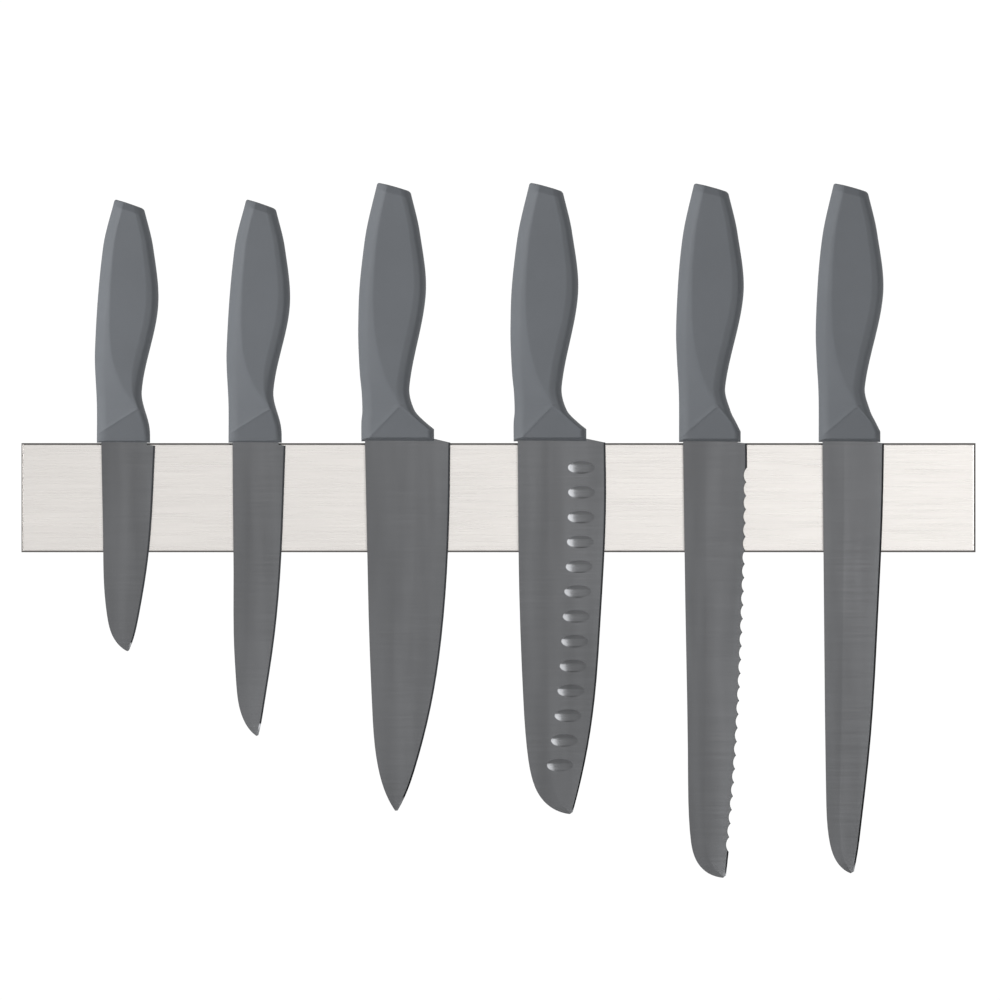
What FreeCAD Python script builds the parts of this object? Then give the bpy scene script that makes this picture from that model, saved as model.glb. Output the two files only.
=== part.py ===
import FreeCAD, Part
import math
import os
from dataclasses import dataclass

# A magnetic knife rack for a wall, with the six knives that it holds. Millimetres.
# Origin: centre of the rack's back, on the wall. +X runs along the rack and +Z is up. The wall is the
# plane Y = 0, and the rack's front face and the knives are on the -Y side of it.

# Rack
rack_length = 450.0
rack_height = 51.5
rack_depth = 18.0
sheet = 0.8  # stainless sheet of the front cover
bend_radius = 1.2  # outside radius of its folds
seam_gap = 0.3  # open seam where two folded flanges meet
flange_recess = 0.3  # the flanges stop this far short of the wall
fit_gap = 0.25  # the carrier and the back plate clear the flanges by this
tape_thick = 0.5
tape_width = 4.0
carrier_rim = 5.5  # solid rim of the carrier, which takes the screws
yoke_thick = 1.5
yoke_gap = 0.2
back_plate_thick = 2.0
rib_thick = 2.0
rib_inset = 4.2  # from the carrier's rim to the middle of each rib inside the back plate
rib_gap = 0.1  # from rib to yoke

# Magnets
magnet_length = 40.0
magnet_margin = 1.2  # the yoke laps past the two rows by this, above and below
magnet_thick = 8.0
magnet_gap = 2.0  # from one block to the next in a row
magnet_row_gap = 4.0  # between the two rows
window_gap = 0.1  # round each block

# Screws that hold the back plate
screw_r = 1.1
screw_head_r = 2.1
screw_length = 9.5
screw_gap = 0.02
screw_end_inset = 20.0  # from the rack's end to the outer screws
screws_per_side = 3
recess_width = 0.7
recess_length = 2.4
recess_depth = 0.9

# Keyholes that hang the rack on two wall screws
keyhole_end_inset = 50.0
keyhole_entry_r = 4.5
keyhole_slot_r = 2.25
keyhole_entry_z = -5.0
keyhole_drop = 10.0  # from the entry to the end of the slot
keyhole_pad = 0.6  # extra thickness of the back plate round each keyhole
keyhole_pad_margin = 3.0

# Blades
blade_gap = 0.05  # from the rack's face to a blade's back
blade_embed = 4.0  # the blade's full width runs this far into the grip
grind_start = 0.35  # share of the width that stays parallel
bevel_width = 0.9
bevel_half = 0.2  # half the thickness behind the bevel
bevel_fade = 8.0  # width of the blade below which that thins out
bevel_share = 0.3  # the most of the blade's width that the bevel takes, at the tip
tip_share = 0.994  # the last section is this share of the way to the tip
blade_stations = 14
heel_gap = 1.5  # from the lip's finger side in to the cut above the heel
tang_holes = 2
tang_hole_r = 2.0

# Handles
spine_round = 6.0  # radius of the long edges on the spine side
belly_round = 4.6  # and on the finger side
lip_slope = 14.0  # degrees that the end of the grip rises away from the blade
core_half = 4.0  # half the core's thickness
core_side = 3.0  # core beside the tang, on each side
core_start = 7.0  # from the lip to the core
tang_share = 0.72  # of the handle's length
tang_lap = 0.5  # of the tang into the blade
butt_bevel_up = 3.4
butt_bevel_in = 1.8
handle_stations = (3.0, 8.0, 13.0, 18.5, 36.0, 50.0, 84.0)  # sections between the neck, belly and butt
butt_station = 8.0  # last section below the butt
handle_overrun = 3.0  # past the lip and the butt before they are cut
round_margin = 0.4  # left between the two rounds of one edge

# Serrations of the bread knife and hollows of the santoku
serration_start = 12.0  # below the heel
serration_pitch = 6.45
serration_depth = 1.1
serration_tilt = 25.0  # degrees, so that the scallops are ground from the front
dimple_count = 13
dimple_start = 11.5
dimple_pitch = 11.7
dimple_length = 12.6
dimple_height = 6.0
dimple_depth = 0.45
dimple_inset = 11.6  # from the edge to a hollow's centre
serration_end = 0.945  # share of the blade's length where they stop

V = FreeCAD.Vector
rack_top = rack_height / 2
carrier_length = rack_length - 2 * (sheet + fit_gap)
carrier_height = rack_height - 2 * (sheet + fit_gap)
magnet_front = sheet - rack_depth
yoke_front = magnet_front + magnet_thick
yoke_back = yoke_front + yoke_thick
carrier_front = magnet_front + tape_thick
carrier_back = -back_plate_thick
pocket_height = carrier_height - 2 * carrier_rim
pocket_length = carrier_length - 2 * carrier_rim
magnet_height = (pocket_height - magnet_row_gap) / 2 - magnet_margin
magnets_per_row = int((pocket_length + magnet_gap) // (magnet_length + magnet_gap))


@dataclass
class Handle:
    """Outline of a grip, in (across, up): across from the spine side of its lip, up from the lip."""

    length: float  # lip to the high corner of the butt
    lip_width: float  # where the flare is cut off square
    neck: tuple  # thinnest place of the finger side
    belly: tuple  # widest place of the finger side
    flare: tuple  # points of the finger side below the neck
    bow: tuple  # furthest place of the spine side
    butt: tuple  # across, of the butt's high and low corners
    butt_drop: float  # from the high corner to the low one
    shoulder: tuple  # a point of each side above the belly: up, spine side, finger side
    half: float  # half the greatest thickness
    neck_half: float
    butt_half: float
    apex: tuple  # top of the bolster facet
    facet_foot: tuple  # its corner on the spine side
    facet_drop: float  # how far the facet falls at the heel side of the lip
    tang_width: float
    tang_across: float  # tang's centre, across


@dataclass
class Knife:
    """A knife: place is its lip's spine side along the rack, as a share of the rack's length."""

    name: str
    place: float
    handle: Handle
    lip_height: float  # lip above the rack's top edge
    length: float  # rack's top edge to tip
    width: float  # across the heel
    inset: float  # spine from the spine side of the lip
    thick: float
    heel: tuple  # heel corner: height below the rack's edge, and how far the shoulder rises from it
    spine: tuple  # (share of length, share of width) points from the heel to the tip
    edge: tuple
    tip: float  # tip's share of the width


small_handle = Handle(
    length=114.8, lip_width=25.1, neck=(21.2, 24.3), belly=(28.9, 64.0),
    flare=((25.3, 0.0), (24.7, 8.0)), bow=(-0.9, 44.0),
    butt=(8.4, 22.3), butt_drop=4.6, shoulder=(92.0, 2.9, 26.6),
    half=7.6, neck_half=6.9, butt_half=6.2,
    apex=(19.8, 16.1), facet_foot=(2.4, 3.3), facet_drop=1.6,
    tang_width=9.0, tang_across=11.2,
)
wide_handle = Handle(
    length=122.0, lip_width=34.3, neck=(22.7, 25.9), belly=(30.4, 69.5),
    flare=((41.5, 0.0), (30.6, 8.7), (25.0, 14.9)), bow=(-1.5, 53.4),
    butt=(7.6, 23.2), butt_drop=4.3, shoulder=(98.5, 2.25, 27.6),
    half=8.0, neck_half=7.2, butt_half=6.6,
    apex=(18.0, 17.0), facet_foot=(3.2, 4.4), facet_drop=2.4,
    tang_width=10.0, tang_across=11.6,
)
narrow_handle = Handle(
    length=122.0, lip_width=29.1, neck=(21.8, 25.9), belly=(30.4, 69.5),
    flare=((31.5, 0.0), (27.2, 8.7), (24.2, 14.9)), bow=(-1.5, 51.4),
    butt=(7.2, 23.2), butt_drop=4.3, shoulder=(98.5, 2.2, 27.6),
    half=8.0, neck_half=7.2, butt_half=6.6,
    apex=(17.6, 17.0), facet_foot=(2.2, 3.6), facet_drop=2.0,
    tang_width=10.0, tang_across=11.4,
)

knives = (
    Knife(
        name="paring", place=-0.4207, handle=small_handle, lip_height=0.15,
        length=98.4, width=25.4, inset=2.1,
        thick=1.6, heel=(1.3, 0.5), tip=0.5,
        spine=((0.68, 0.05), (0.826, 0.106), (0.932, 0.224), (0.985, 0.40)),
        edge=((0.252, 0.957), (0.539, 0.874), (0.826, 0.697), (0.95, 0.58)),
    ),
    Knife(
        name="utility", place=-0.2828, handle=small_handle, lip_height=0.15,
        length=138.6, width=25.0, inset=1.9,
        thick=1.6, heel=(1.3, 0.5), tip=0.476,
        spine=((0.69, 0.028), (0.80, 0.062), (0.90, 0.13), (0.965, 0.28)),
        edge=((0.433, 0.904), (0.69, 0.768), (0.893, 0.596), (0.97, 0.52)),
    ),
    Knife(
        name="chef", place=-0.1436, handle=wide_handle, lip_height=0.8,
        length=174.2, width=40.2, inset=1.7,
        thick=2.0, heel=(-0.2, 2.2), tip=0.368,
        spine=((0.467, 0.042), (0.711, 0.082), (0.873, 0.149), (0.946, 0.239)),
        edge=((0.142, 0.993), (0.467, 0.923), (0.711, 0.774), (0.873, 0.597), (0.946, 0.488)),
    ),
    Knife(
        name="santoku", place=0.0159, handle=wide_handle, lip_height=0.8,
        length=175.0, width=41.4, inset=1.9,
        thick=2.0, heel=(-0.2, 2.2), tip=0.62,
        spine=((0.303, 0.01), (0.707, 0.067), (0.869, 0.132), (0.939, 0.221), (0.979, 0.365), (0.995, 0.50)),
        edge=((0.142, 1.006), (0.465, 0.947), (0.707, 0.868), (0.869, 0.757), (0.963, 0.663)),
    ),
    Knife(
        name="bread", place=0.1891, handle=narrow_handle, lip_height=0.5,
        length=205.0, width=30.1, inset=1.9,
        thick=1.8, heel=(0.2, 0.6), tip=0.67,
        spine=((0.327, 0.03), (0.741, 0.076), (0.90, 0.11), (0.949, 0.174), (0.977, 0.29), (0.996, 0.50)),
        edge=((0.055, 1.003), (0.379, 0.957), (0.566, 0.903), (0.785, 0.811), (0.943, 0.712)),
    ),
    Knife(
        name="carving", place=0.3354, handle=narrow_handle, lip_height=0.5,
        length=203.2, width=29.0, inset=1.8,
        thick=1.8, heel=(0.2, 0.6), tip=0.502,
        spine=((0.40, 0.024), (0.818, 0.058), (0.922, 0.11), (0.955, 0.172), (0.983, 0.296)),
        edge=((0.122, 0.986), (0.40, 0.904), (0.679, 0.787), (0.888, 0.629), (0.96, 0.56)),
    ),
)


# Plain solids


def block(x0, x1, y0, y1, z0, z1):
    return Part.makeBox(x1 - x0, y1 - y0, z1 - z0, V(x0, y0, z0))


def centred_block(length, height, y0, y1, x=0.0, z=0.0):
    return block(x - length / 2, x + length / 2, y0, y1, z - height / 2, z + height / 2)


def beyond(point, normal):
    """All that lies past a plane, as a large box standing on it."""
    reach = 2 * (rack_length + max(knife.length for knife in knives))
    solid = Part.makeBox(reach, reach, reach, V(-reach / 2, -reach / 2, 0))
    solid.Placement = FreeCAD.Placement(point, FreeCAD.Rotation(V(0, 0, 1), normal))
    return solid


def plane_normal(a, b, c, outward):
    """Normal of the plane through three points, on the side that outward points to."""
    normal = (b - a).cross(c - a).normalize()
    return normal if normal.dot(outward) > 0 else -normal


def smooth(points, at):
    """Height at one place of the smooth curve through (place, height) points in order."""
    last = len(points) - 2
    i = next((k for k in range(last) if at <= points[k + 1][0]), last)
    (x0, y0), (x1, y1) = points[i], points[i + 1]
    before, after = points[max(i - 1, 0)], points[min(i + 2, last + 1)]
    slope0 = (y1 - before[1]) / (x1 - before[0])
    slope1 = (after[1] - y0) / (after[0] - x0)
    t = (at - x0) / (x1 - x0)
    span = x1 - x0
    start = (1 + 2 * t) * (1 - t) ** 2 * y0 + t * (1 - t) ** 2 * span * slope0
    end = t * t * (3 - 2 * t) * y1 + t * t * (t - 1) * span * slope1
    return start + end


# Rack


def round_front(solid, radius):
    """Rounds the four edges of a block's front face."""
    front = solid.BoundBox.YMin
    edges = [e for e in solid.Edges if e.BoundBox.YMax < front + 1e-6]
    return solid.makeFillet(radius, edges)


def front_cover():
    outer = round_front(centred_block(rack_length, rack_height, -rack_depth, -flange_recess), bend_radius)
    inside = centred_block(rack_length - 2 * sheet, rack_height - 2 * sheet, magnet_front, 0)
    cover = outer.cut(round_front(inside, bend_radius - sheet))
    seam_z = rack_top - sheet - seam_gap / 2
    for z in (-seam_z, seam_z):
        for x in (-rack_length / 2, rack_length / 2):
            cover = cover.cut(centred_block(3 * sheet, seam_gap, bend_radius - rack_depth, 0, x, z))
    return cover


def magnet_places():
    """Centre of each block of a row, along the rack."""
    pitch = magnet_length + magnet_gap
    return [(i - (magnets_per_row - 1) / 2) * pitch for i in range(magnets_per_row)]


def magnet_row(side):
    z = side * (magnet_row_gap + magnet_height) / 2
    return Part.makeCompound(
        [centred_block(magnet_length, magnet_height, magnet_front, yoke_front, x, z) for x in magnet_places()]
    )


def screw_places():
    span = rack_length - 2 * screw_end_inset
    z = (carrier_height - carrier_rim) / 2
    xs = [i * span / (screws_per_side - 1) - span / 2 for i in range(screws_per_side)]
    return [(x, side * z) for side in (-1, 1) for x in xs]


def screw(x, z):
    """A countersunk screw, driven from the back, with a cross recess."""
    head_depth = screw_head_r - screw_r
    head = Part.makeCone(screw_head_r, screw_r, head_depth, V(x, 0, z), V(0, -1, 0))
    shank = Part.makeCylinder(screw_r, screw_length, V(x, 0, z), V(0, -1, 0))
    solid = head.fuse(shank)
    solid = solid.cut(centred_block(recess_length, recess_width, -recess_depth, 0, x, z))
    return solid.cut(centred_block(recess_width, recess_length, -recess_depth, 0, x, z))


def back_screws():
    return Part.makeCompound([screw(x, z) for x, z in screw_places()])


def screw_hole(x, z):
    """Room for one screw: its countersink and its pilot."""
    head_depth = screw_head_r - screw_r
    sink = Part.makeCone(screw_head_r + screw_gap, screw_r + screw_gap, head_depth, V(x, 0, z), V(0, -1, 0))
    pilot = Part.makeCylinder(screw_r + screw_gap, screw_length + screw_gap, V(x, 0, z), V(0, -1, 0))
    return sink.fuse(pilot)


def magnet_carrier():
    carrier = centred_block(carrier_length, carrier_height, carrier_front, carrier_back)
    carrier = carrier.cut(centred_block(pocket_length, pocket_height, yoke_front, carrier_back))
    window = (magnet_length + 2 * window_gap, magnet_height + 2 * window_gap)
    for side in (-1, 1):
        z = side * (magnet_row_gap + magnet_height) / 2
        for x in magnet_places():
            carrier = carrier.cut(centred_block(*window, carrier_front, yoke_front, x, z))
    for x, z in screw_places():
        carrier = carrier.cut(screw_hole(x, z))
    return carrier


def yoke_plate():
    return centred_block(pocket_length - 2 * yoke_gap, pocket_height - 2 * yoke_gap, yoke_front, yoke_back)


def bond_tapes():
    """A strip above the magnets and one below them, between the carrier and the cover."""
    magnets_top = magnet_row_gap / 2 + magnet_height
    z = (magnets_top + carrier_height / 2) / 2
    length = carrier_length - 2 * tape_width
    return Part.makeCompound(
        [centred_block(length, tape_width, magnet_front, carrier_front, 0, side * z) for side in (-1, 1)]
    )


def keyhole(x):
    """Entry hole, and the slot that runs up from it, as one outline cut through the plate."""
    slot_end = keyhole_entry_z + keyhole_drop
    meet = keyhole_entry_z + math.sqrt(keyhole_entry_r**2 - keyhole_slot_r**2)

    def p(across, z):
        return V(x + across, back_plate_thick, z)

    right, left = keyhole_slot_r, -keyhole_slot_r
    edges = [
        Part.Arc(p(right, meet), p(0, keyhole_entry_z - keyhole_entry_r), p(left, meet)),
        Part.LineSegment(p(left, meet), p(left, slot_end)),
        Part.Arc(p(left, slot_end), p(0, slot_end + keyhole_slot_r), p(right, slot_end)),
        Part.LineSegment(p(right, slot_end), p(right, meet)),
    ]
    outline = Part.Wire([edge.toShape() for edge in edges])
    return Part.Face(outline).extrude(V(0, -3 * back_plate_thick - keyhole_pad, 0))


def keyhole_stiffener(x):
    """The thicker patch inside the plate that a keyhole is cut through."""
    reach = keyhole_entry_r + keyhole_pad_margin
    low = keyhole_entry_z - reach
    high = keyhole_entry_z + keyhole_drop + keyhole_slot_r + keyhole_pad_margin
    return block(x - reach, x + reach, carrier_back - keyhole_pad, carrier_back, low, high)


def back_plate():
    plate = centred_block(carrier_length, carrier_height, carrier_back, 0)
    rib_length = pocket_length - 2 * yoke_gap
    rib_z = pocket_height / 2 - rib_inset
    for side in (-1, 1):
        x = side * (rack_length / 2 - keyhole_end_inset)
        plate = plate.fuse(keyhole_stiffener(x)).cut(keyhole(x))
        rib = centred_block(rib_length, rib_thick, yoke_back + rib_gap, carrier_back, 0, side * rib_z)
        plate = plate.fuse(rib)
    for x, z in screw_places():
        plate = plate.cut(screw_hole(x, z))
    return plate


# Knives


class KnifeFrame:
    """Places (across, out, up) on the rack: across from the lip's spine side, out of the blade's middle."""

    def __init__(self, knife):
        self.x = knife.place * rack_length
        self.y = -(rack_depth + blade_gap + knife.thick / 2)

    def at(self, across, out, up):
        """out is towards the viewer's side of the blade; up is from the rack's top edge."""
        return V(self.x + across, self.y - out, rack_top + up)


def outline_curve(frame, points):
    curve = Part.BSplineCurve()
    curve.interpolate([frame.at(across, 0, up) for across, up in points])
    return curve


def curve_point(curve, share):
    return curve.value(curve.FirstParameter + share * (curve.LastParameter - curve.FirstParameter))


def blade_outline(knife, frame):
    """The spine's and the edge's curves, from inside the grip to the tip."""
    tip = (1.0, knife.tip)
    rise = -(knife.lip_height + blade_embed) / knife.length
    straight, drop = knife.spine[0]
    begin = [(s, s * drop / straight) for s in (rise, straight / 3, straight * 2 / 3)]
    spine = (*begin, *knife.spine, tip)
    lean = (1.0 - knife.edge[0][1]) / knife.edge[0][0]
    edge = ((rise, 1.0 - rise * lean), (0.0, 1.0), *knife.edge, tip)
    place = [[(knife.inset + t * knife.width, -s * knife.length) for s, t in side] for side in (spine, edge)]
    return [outline_curve(frame, points) for points in place]


def blade_section(knife, start, end):
    """Seven-sided section across the blade: parallel by the spine, then ground, then bevelled to the edge.

    The blade thins with its width, so that it is ground at one angle from heel to tip.
    """
    across = end - start
    width = across.Length
    edge_half = bevel_half * min(1.0, width / bevel_fade)
    half = edge_half + (knife.thick / 2 - bevel_half) * min(1.0, width / knife.width)
    bevel = min(bevel_width, bevel_share * width)
    out = V(0, -1, 0)
    ground = start + across * grind_start
    shoulder = start + across * ((width - bevel) / width)
    corners = [
        start + out * half,
        ground + out * half,
        shoulder + out * edge_half,
        end,
        shoulder - out * edge_half,
        ground - out * half,
        start - out * half,
    ]
    return Part.makePolygon(corners + corners[:1])


def blade_body(knife, frame):
    spine, edge = blade_outline(knife, frame)
    shares = [1 - (1 - i / blade_stations) ** 1.5 for i in range(blade_stations)]
    sections = []
    for share in (*shares, tip_share):
        start, end = (curve_point(curve, share) for curve in (spine, edge))
        sections.append(blade_section(knife, start, end))
    return Part.makeLoft(sections, True, False)


def heel_waste(knife, frame):
    """What is cut away above the heel, beside the grip."""
    below, rise = knife.heel
    heel = knife.inset + knife.width
    inner = knife.handle.lip_width - heel_gap
    far = heel + knife.width
    high = 3 * blade_embed
    corners = [(far, -below), (heel, -below), (inner, rise - below), (inner, high), (far, high)]
    points = [frame.at(across, knife.thick, up) for across, up in corners]
    face = Part.Face(Part.makePolygon(points + points[:1]))
    return face.extrude(V(0, 2 * knife.thick, 0))


def tang(knife, frame):
    handle = knife.handle
    start = knife.lip_height + blade_embed - tang_lap
    top = knife.lip_height + handle.length * tang_share
    width, half = handle.tang_width, knife.thick / 2
    corner = frame.at(handle.tang_across - width / 2, half, start)
    strip = Part.makeBox(width, knife.thick, top - start, corner)
    long_edges = [e for e in strip.Edges if e.BoundBox.ZMin > corner.z + 1 and e.BoundBox.YLength > half]
    strip = strip.makeFillet(width / 3, long_edges)
    for i in range(tang_holes):
        up = knife.lip_height + core_start + (i + 1) * (top - start - core_start) / (tang_holes + 1)
        hole = Part.makeCylinder(tang_hole_r, knife.thick, frame.at(handle.tang_across, half, up), V(0, 1, 0))
        strip = strip.cut(hole)
    return strip


def edge_x(knife, frame, z):
    """Where the cutting edge is at one height."""
    edge = blade_outline(knife, frame)[1].toShape()
    level = Part.makeLine(V(frame.x, frame.y, z), V(frame.x + 2 * knife.width, frame.y, z))
    return edge.distToShape(level)[1][0][0].x


def serrations(knife, frame):
    """Round cutters along the edge, tilted so that they grind the front."""
    radius = (serration_pitch**2 / 4 + serration_depth**2) / (2 * serration_depth)
    last = serration_end * knife.length
    count = int((last - serration_start) // serration_pitch)
    lean = math.radians(serration_tilt)
    axis = V(-math.sin(lean), -math.cos(lean), 0)
    cutters = []
    for i in range(count):
        z = rack_top - serration_start - (i + 0.5) * serration_pitch
        centre = V(edge_x(knife, frame, z) + radius - serration_depth, frame.y, z)
        start = centre - axis * (4 * knife.thick)
        cutters.append(Part.makeCylinder(radius, 8 * knife.thick, start, axis))
    return cutters


def front_y(body, x, z):
    """Where the front of a blade is, at one place."""
    bounds = body.BoundBox
    through = Part.makeLine(V(x, bounds.YMin - 1, z), V(x, bounds.YMax + 1, z))
    return body.common(through).BoundBox.YMin


def dimples(knife, frame, body):
    """Wheel-shaped cutters that leave a row of hollows along the front of the blade, square to its grind."""
    wheel_r = (dimple_length**2 / 4 + dimple_depth**2) / (2 * dimple_depth)
    crown_r = (dimple_height**2 / 4 + dimple_depth**2) / (2 * dimple_depth)
    quarter = dimple_length / 4
    cutters = []
    for i in range(dimple_count):
        z = rack_top - dimple_start - i * dimple_pitch
        x = edge_x(knife, frame, z) - dimple_inset
        spine_side, edge_side = front_y(body, x - quarter, z), front_y(body, x + quarter, z)
        square = V(edge_side - spine_side, -2 * quarter, 0).normalize()
        centre = V(x, (spine_side + edge_side) / 2, z) + square * (wheel_r - dimple_depth)
        cutters.append(Part.makeTorus(wheel_r - crown_r, crown_r, centre, V(0, 0, 1)))
    return cutters


def blade(knife):
    frame = KnifeFrame(knife)
    body = blade_body(knife, frame).cut(heel_waste(knife, frame))
    if knife.name == "bread":
        body = body.cut(serrations(knife, frame))
    if knife.name == "santoku":
        body = body.cut(dimples(knife, frame, body))
    return body.fuse(tang(knife, frame)).removeSplitter()


def handle_section(knife, frame, up):
    """Rounded oblong across the handle at one height above its lip."""
    h = knife.handle
    spine_side = [(0.0, 0.0), (0.4 * h.bow[1], 0.0), h.bow[::-1], h.shoulder[:2], (h.length, h.butt[0])]
    finger_side = [(u, a) for a, u in (*h.flare, h.neck, h.belly)]
    finger_side += [(h.shoulder[0], h.shoulder[2]), (h.length - h.butt_drop, h.butt[1])]
    sides = [(0.0, h.neck_half), (h.neck[1], h.neck_half), (h.belly[1], h.half), (h.length, h.butt_half)]
    left, right, half = smooth(spine_side, up), smooth(finger_side, up), smooth(sides, up)
    rs, rb = min(spine_round, half - round_margin), min(belly_round, half - round_margin)
    high = up + knife.lip_height

    def p(across, out):
        return frame.at(across, out, high)

    def corner(across, out, radius, dx, dy):
        """Arc round a corner whose centre is (across, out), from one side to the next."""
        d = radius * math.sqrt(0.5)
        ends = (p(across + dx * radius, out), p(across, out + dy * radius))
        middle = p(across + dx * d, out + dy * d)
        return ends if dx * dy < 0 else ends[::-1], middle

    arcs = [
        corner(right - rb, half - rb, rb, 1, 1),
        corner(right - rb, rb - half, rb, 1, -1),
        corner(left + rs, rs - half, rs, -1, -1),
        corner(left + rs, half - rs, rs, -1, 1),
    ]
    edges = []
    for i, ((start, end), middle) in enumerate(arcs):
        edges.append(Part.Arc(start, middle, end).toShape())
        edges.append(Part.LineSegment(end, arcs[(i + 1) % 4][0][0]).toShape())
    return Part.Wire(edges)


def handle_outside(knife, frame):
    h = knife.handle
    own_places = (h.neck[1], h.belly[1], h.shoulder[0], h.length - butt_station)
    ups = sorted((-handle_overrun, *handle_stations, *own_places, h.length + handle_overrun))
    solid = Part.makeLoft([handle_section(knife, frame, up) for up in ups], True, False)
    lip, top = knife.lip_height, knife.lip_height + h.length
    rise = math.radians(lip_slope)
    flare_far, neck_up = frame.at(2 * h.lip_width, 0, 0), frame.at(0, 0, lip + h.neck[1])
    reach = 2 * h.half
    flare = block(frame.x + h.lip_width, flare_far.x, frame.y - reach, frame.y + reach, 0, neck_up.z)
    solid = solid.cut(flare)
    butt_a, butt_b = frame.at(h.butt[0], 0, top), frame.at(h.butt[1], 0, top - h.butt_drop)
    solid = solid.cut(beyond(butt_a, plane_normal(butt_a, butt_b, butt_a + V(0, 1, 0), V(0, 0, 1))))
    for side in (-1, 1):
        slope = V(0, -side * math.sin(rise), -math.cos(rise))
        solid = solid.cut(beyond(frame.at(0, 0, lip), slope))
        solid = solid.cut(bolster_waste(knife, frame, side))
        solid = solid.cut(butt_waste(knife, frame, side))
    return solid


def bolster_waste(knife, frame, side):
    """What is cut off one side to leave the three-cornered facet above the lip."""
    h, lip = knife.handle, knife.lip_height
    apex = frame.at(h.apex[0], side * h.neck_half, lip + h.apex[1])
    foot = frame.at(h.facet_foot[0], side * h.neck_half, lip + h.facet_foot[1])
    heel = frame.at(h.lip_width, side * (h.neck_half - h.facet_drop), lip)
    return beyond(apex, plane_normal(apex, foot, heel, V(0, -side, 0)))


def butt_waste(knife, frame, side):
    """The bevel round the butt's edge, on one side."""
    h, lip = knife.handle, knife.lip_height
    foot = lip + h.length - butt_bevel_up
    near_a = frame.at(h.butt[0], side * h.butt_half, foot)
    near_b = frame.at(h.butt[1], side * h.butt_half, foot - h.butt_drop)
    far = frame.at(h.butt[0], side * (h.butt_half - butt_bevel_in), lip + h.length)
    return beyond(near_a, plane_normal(near_a, near_b, far, V(0, -side, 0)))


def core_block(knife, frame):
    h = knife.handle
    width = h.tang_width + 2 * core_side
    start = knife.lip_height + core_start
    length = h.length * tang_share + core_side - core_start
    corner = frame.at(h.tang_across - width / 2, core_half, start)
    solid = Part.makeBox(width, 2 * core_half, length, corner)
    return solid.makeFillet(core_half / 2, solid.Edges)


def knife_parts(knife):
    """The blade, the core moulded round its tang and the grip moulded over both."""
    frame = KnifeFrame(knife)
    steel = blade(knife)
    core = core_block(knife, frame)
    grip = handle_outside(knife, frame).cut(core).cut(steel)
    return {"blade": steel, "handle_core": core.cut(steel), "grip": grip}


def all_parts():
    parts = {
        "front_cover": front_cover(),
        "magnet_carrier": magnet_carrier(),
        "magnets_upper": magnet_row(1),
        "magnets_lower": magnet_row(-1),
        "yoke_plate": yoke_plate(),
        "bond_tapes": bond_tapes(),
        "back_plate": back_plate(),
        "back_screws": back_screws(),
    }
    for knife in knives:
        for piece, shape in knife_parts(knife).items():
            parts[f"{knife.name}_{piece}"] = shape
    return parts


def main():
    os.makedirs("parts", exist_ok=True)
    for node, shape in all_parts().items():
        shape.exportStep(f"parts/{node}.step")
        print(node, len(shape.Solids), "solids", round(shape.Volume), "mm3", shape.isValid())


main()
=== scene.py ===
import logging
import math
from dataclasses import dataclass
from enum import Enum
from typing import Any, Sequence

import bmesh
import bpy
import numpy as np
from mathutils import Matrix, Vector


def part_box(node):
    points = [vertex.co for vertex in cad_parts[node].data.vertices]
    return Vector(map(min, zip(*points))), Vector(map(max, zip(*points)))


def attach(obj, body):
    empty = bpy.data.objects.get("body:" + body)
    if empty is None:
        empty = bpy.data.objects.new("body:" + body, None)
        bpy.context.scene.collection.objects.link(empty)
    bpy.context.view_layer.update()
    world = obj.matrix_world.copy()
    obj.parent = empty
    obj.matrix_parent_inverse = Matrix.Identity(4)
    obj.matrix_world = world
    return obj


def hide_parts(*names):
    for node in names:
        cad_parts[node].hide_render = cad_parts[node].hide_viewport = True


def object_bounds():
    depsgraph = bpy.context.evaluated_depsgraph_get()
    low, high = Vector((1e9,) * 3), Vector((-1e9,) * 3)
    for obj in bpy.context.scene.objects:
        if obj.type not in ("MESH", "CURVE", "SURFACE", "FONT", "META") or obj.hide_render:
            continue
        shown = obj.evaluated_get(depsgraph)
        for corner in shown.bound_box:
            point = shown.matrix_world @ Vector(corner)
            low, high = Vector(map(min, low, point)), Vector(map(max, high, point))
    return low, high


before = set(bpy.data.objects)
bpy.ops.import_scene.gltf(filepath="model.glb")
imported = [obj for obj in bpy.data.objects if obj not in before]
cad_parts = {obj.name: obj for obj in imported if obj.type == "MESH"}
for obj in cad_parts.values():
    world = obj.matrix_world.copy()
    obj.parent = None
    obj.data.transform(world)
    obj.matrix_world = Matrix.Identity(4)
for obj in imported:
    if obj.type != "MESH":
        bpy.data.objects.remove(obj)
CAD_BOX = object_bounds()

# A magnetic knife rack with six knives, dressed on its CAD frame. Every piece keeps its CAD mesh except the
# six grips, each of which is a finer mesh with its own creases and facets.

log = logging.getLogger("knife_rack")

MM = 0.001  # metres in a millimetre
WELD_MM = 0.002  # points closer than this are one point
APEX_SPREAD = 0.2  # mm from the bolster's apex to where the ridge falls to the heel
CORE_ROUND_MM = 2.0  # radius of the core's edges
CORE_ROUND_STEPS = 3
NOISE_RANGE = (0.3, 0.7)  # where nearly all of a noise pattern's values lie
LINE_DETAIL = 3.0  # octaves in a pattern of lines


# --------------------------------------------------------------------------------------------------
# Small tools


def linear(hex_colour: str) -> tuple[float, float, float, float]:
    """Turns an sRGB hex colour into linear RGBA.

    Args:
        hex_colour: six hex digits, with or without a leading #.

    Returns:
        Linear red, green and blue, and an alpha of 1.
    """
    digits = hex_colour.lstrip("#")
    shares = [int(digits[i : i + 2], 16) / 255 for i in (0, 2, 4)]
    rgb = [c / 12.92 if c <= 0.04045 else ((c + 0.055) / 1.055) ** 2.4 for c in shares]
    return (*rgb, 1.0)


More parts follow.
